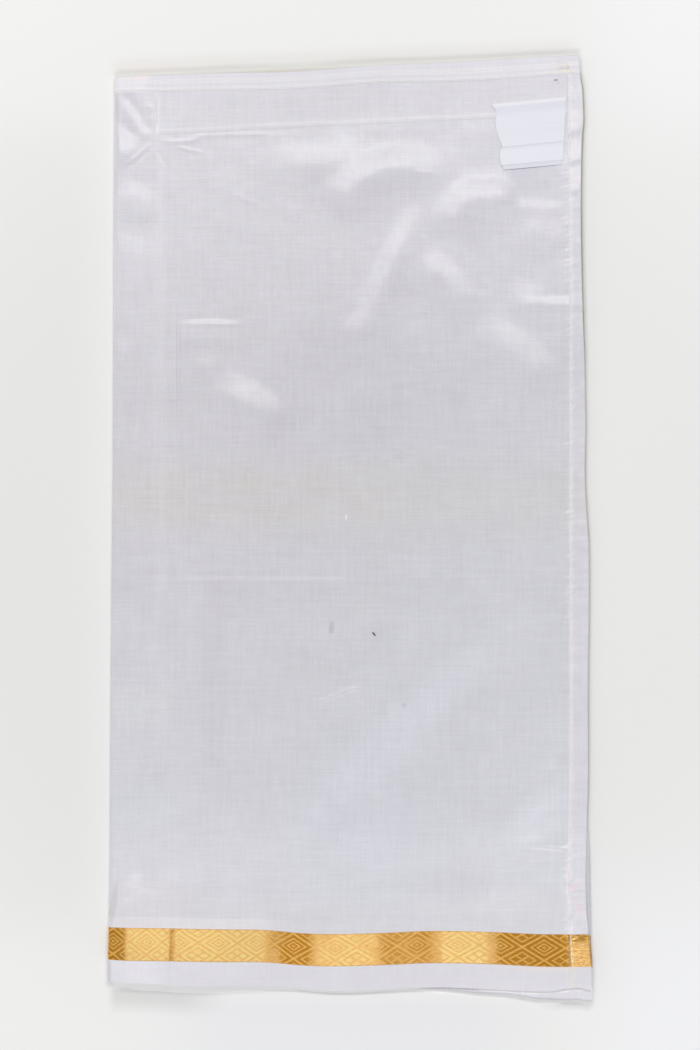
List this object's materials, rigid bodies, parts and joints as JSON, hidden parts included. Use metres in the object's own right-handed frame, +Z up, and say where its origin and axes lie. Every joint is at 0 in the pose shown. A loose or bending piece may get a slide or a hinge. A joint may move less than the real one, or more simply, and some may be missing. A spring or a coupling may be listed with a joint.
{
  "type": "folded dhoti cloth",
  "caption": "Child's dhoti folded flat with its plies stacked: turned waist hem and casing, stitched side hem, woven gold diamond border and a bare care label.",
  "frame": {"origin": "on the floor, at the centre of the folded cloth's outline", "axes": "+Z up from the floor, +Y along the cloth towards the waist edge, +X across it towards the stitched side hem; the fold is on the -X side and the gold border near the -Y end"},
  "size_m": [0.2572, 0.5015, 0.0086],
  "materials": {
    "cloth": "thin silky plain weave, slightly slubbed, soft satin sheen, lavender white",
    "plies": "the same silky plain weave seen edge on",
    "dense_cloth": "denser plain weave beside the border, soft sheen",
    "hem_cloth": "turned and stitched plain weave, soft sheen",
    "zari": "woven metallic gold thread, diamond brocade, satin metallic",
    "label_ribbon": "smooth white ribbon, bare, folded"
  },
  "bodies": {
    "root": {"folded_plies": "plies", "front_panel": "cloth", "zari_border": "zari", "bottom_band": "dense_cloth", "top_hem": "hem_cloth", "waist_casing": "cloth", "side_hem": "hem_cloth", "side_hem_zari": "zari", "side_hem_foot": "dense_cloth", "care_label": "label_ribbon"}
  },
  "joints": []
}
